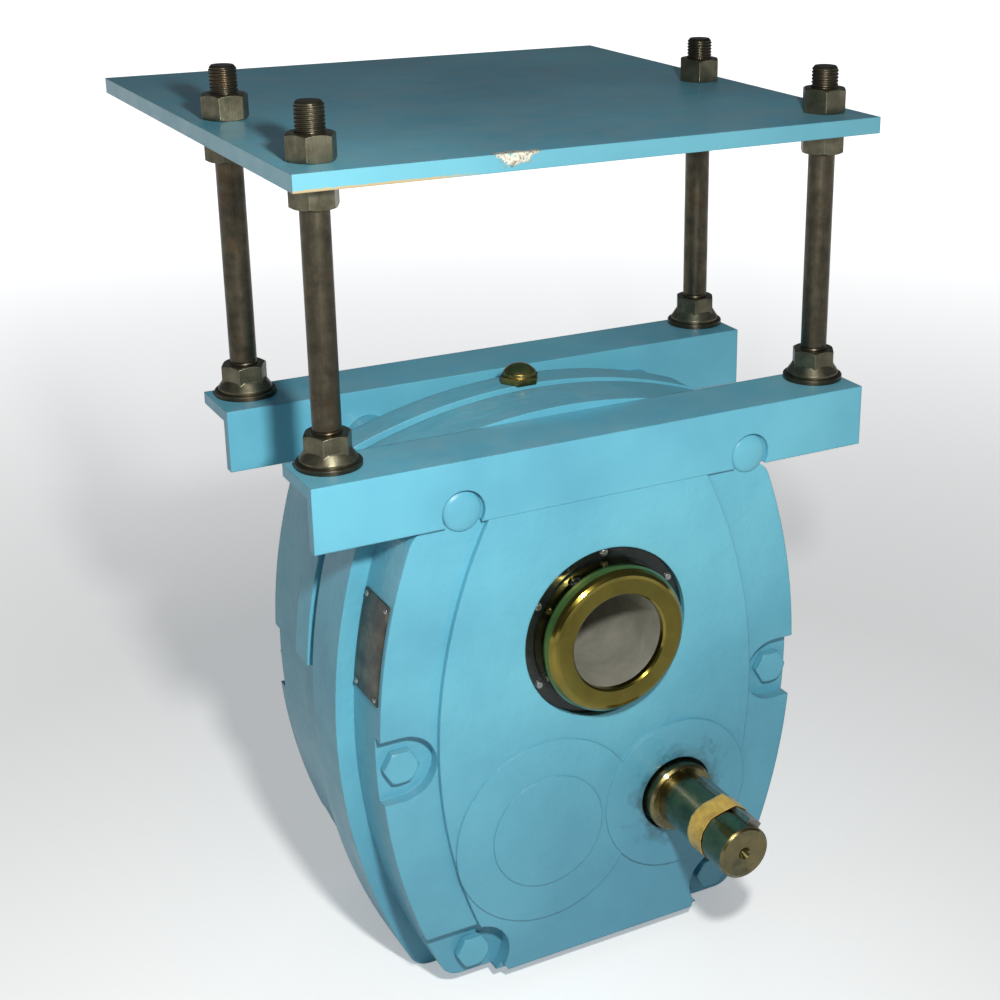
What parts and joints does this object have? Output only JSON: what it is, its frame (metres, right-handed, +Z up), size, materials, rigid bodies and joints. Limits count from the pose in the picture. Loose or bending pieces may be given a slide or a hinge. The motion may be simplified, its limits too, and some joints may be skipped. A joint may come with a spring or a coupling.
{
  "type": "shaft-mounted parallel-shaft gear reducer",
  "caption": "Shaft-mounted helical gear reducer: barrel-shaped split casing, hollow output hub, keyed input shaft and a motor plate that slides on studs.",
  "frame": {"origin": "on the axis of the hollow output shaft, half way through the casing's depth", "axes": "+X along the rails to the right, +Y from the input side to the back, +Z up"},
  "size_m": [0.45, 0.544, 0.682],
  "materials": {
    "blue_enamel": "semi-gloss turquoise enamel over iron",
    "stud_steel": "dark oiled steel",
    "shaft_steel": "dark oiled machined steel",
    "bore_steel": "grey machined steel",
    "hub_gold": "yellow passivated plating, glossy",
    "seal_black": "black oiled steel",
    "screw_zinc": "bright zinc",
    "breather_brass": "dull brass",
    "key_tape": "creased ochre masking tape",
    "key_steel": "bright drawn steel",
    "plate_brown": "dark brown blank plate",
    "gear_steel": "case-hardened, oiled",
    "bearing_steel": "ground and polished",
    "cage_steel": "machined brass",
    "seal_rubber": "nitrile rubber",
    "gasket_paper": "black joint sheet"
  },
  "bodies": {
    "casing": {"breather_plug": "breather_brass", "casing_bolts": "blue_enamel", "casing_gasket": "gasket_paper", "casing_nuts": "blue_enamel", "dowel_pins": "gear_steel", "drain_plug": "blue_enamel", "front_casing": "blue_enamel", "front_rail": "blue_enamel", "front_seal_ring": "seal_black", "input_bearing_outer_rings": "bearing_steel", "input_seal": "seal_rubber", "level_plug": "blue_enamel", "middle_bearing_outer_rings": "bearing_steel", "name_plate": "plate_brown", "name_plate_pins": "screw_zinc", "output_bearing_outer_rings": "bearing_steel", "output_seals": "seal_rubber", "rail_clamp_bolts": "blue_enamel", "rail_clamp_nuts": "blue_enamel", "rail_nuts": "stud_steel", "rail_under_nuts": "stud_steel", "rail_washers": "stud_steel", "rear_casing": "blue_enamel", "rear_cover": "blue_enamel", "rear_cover_screws": "blue_enamel", "rear_rail": "blue_enamel", "rear_seal_ring": "seal_black", "seal_ring_screws": "screw_zinc", "stud_front_left": "stud_steel", "stud_front_right": "stud_steel", "stud_rear_left": "stud_steel", "stud_rear_right": "stud_steel"},
    "motor_platform": {"motor_plate": "blue_enamel", "plate_upper_nuts": "stud_steel", "plate_lower_nuts": "stud_steel"},
    "output_hub": {"output_sleeve": "bore_steel", "output_gear": "gear_steel", "output_gear_key": "key_steel", "output_gear_circlip": "gear_steel", "front_hub_collar": "hub_gold", "rear_hub_collar": "hub_gold", "collar_set_screws": "seal_black", "output_bearing_inner_rings": "bearing_steel", "output_bearing_balls": "bearing_steel", "output_bearing_cages": "cage_steel"},
    "middle_shaft": {"middle_pinion_shaft": "gear_steel", "middle_gear": "gear_steel", "middle_gear_key": "key_steel", "middle_bearing_inner_rings": "bearing_steel", "middle_bearing_balls": "bearing_steel", "middle_bearing_cages": "cage_steel"},
    "input_shaft": {"input_pinion_shaft": "shaft_steel", "input_key": "key_steel", "key_tape": "key_tape", "input_collar": "shaft_steel", "input_bearing_inner_rings": "bearing_steel", "input_bearing_balls": "bearing_steel", "input_bearing_cages": "cage_steel"}
  },
  "joints": [
    {"name": "output_spin", "type": "hinge", "parent": "casing", "child": "output_hub", "pos_m": [0, 0, 0], "axis": [0, 1, 0], "continuous": true},
    {"name": "middle_spin", "type": "hinge", "parent": "casing", "child": "middle_shaft", "pos_m": [-0.051, 0, -0.15376], "axis": [0, 1, 0], "continuous": true},
    {"name": "input_spin", "type": "hinge", "parent": "casing", "child": "input_shaft", "pos_m": [0.0615, 0, -0.15376], "axis": [0, 1, 0], "continuous": true},
    {"name": "plate_height", "type": "slide", "parent": "casing", "child": "motor_platform", "axis": [0, 0, 1], "range_m": [-0.12, 0.012]}
  ],
  "couplings": [
    {"joint": "middle_spin", "follows": "output_spin", "ratio": -3.5},
    {"joint": "input_spin", "follows": "output_spin", "ratio": 12.25}
  ]
}
